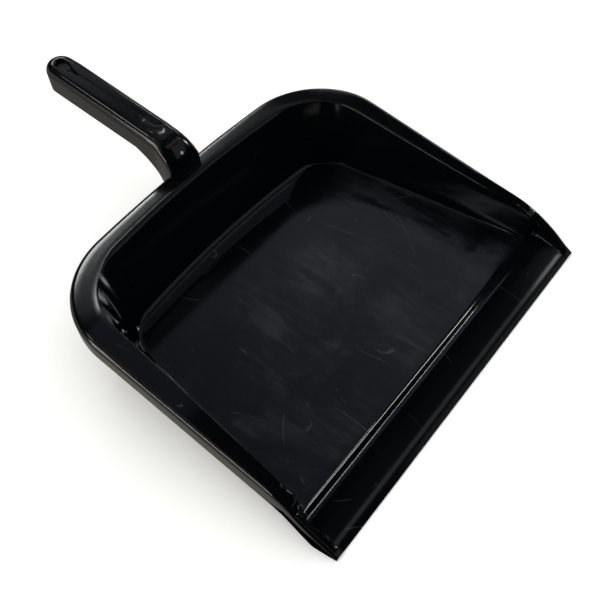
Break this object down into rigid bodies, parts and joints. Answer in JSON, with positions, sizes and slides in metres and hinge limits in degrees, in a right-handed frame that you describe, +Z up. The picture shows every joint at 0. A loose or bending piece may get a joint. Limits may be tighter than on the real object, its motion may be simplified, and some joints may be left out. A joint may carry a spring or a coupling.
{
  "type": "dust pan",
  "caption": "Wide one-piece plastic dust pan with a raked rear wall, a rolled rim that slopes down to a thin pick-up lip, and a raised hollow handle with a hanging hole.",
  "frame": {"origin": "centre of the bounding box's footprint, on the surface that the pan lies on", "axes": "+X to the right across the pick-up lip, +Y from the lip towards the handle, +Z up"},
  "size_m": [0.3168, 0.42, 0.1044],
  "materials": {
    "moulding": "gloss black injection-moulded polypropylene, scuffed to a satin on the floor"
  },
  "bodies": {
    "root": {"pan_floor": "moulding", "front_ridge": "moulding", "pickup_lip": "moulding", "right_wing": "moulding", "left_wing": "moulding", "right_side_wall": "moulding", "left_side_wall": "moulding", "right_corner_wall": "moulding", "left_corner_wall": "moulding", "rear_wall": "moulding", "right_side_rim": "moulding", "left_side_rim": "moulding", "right_corner_rim": "moulding", "left_corner_rim": "moulding", "rear_rim": "moulding", "handle_neck": "moulding", "handle_grip": "moulding", "handle_hanging_end": "moulding"}
  },
  "joints": []
}
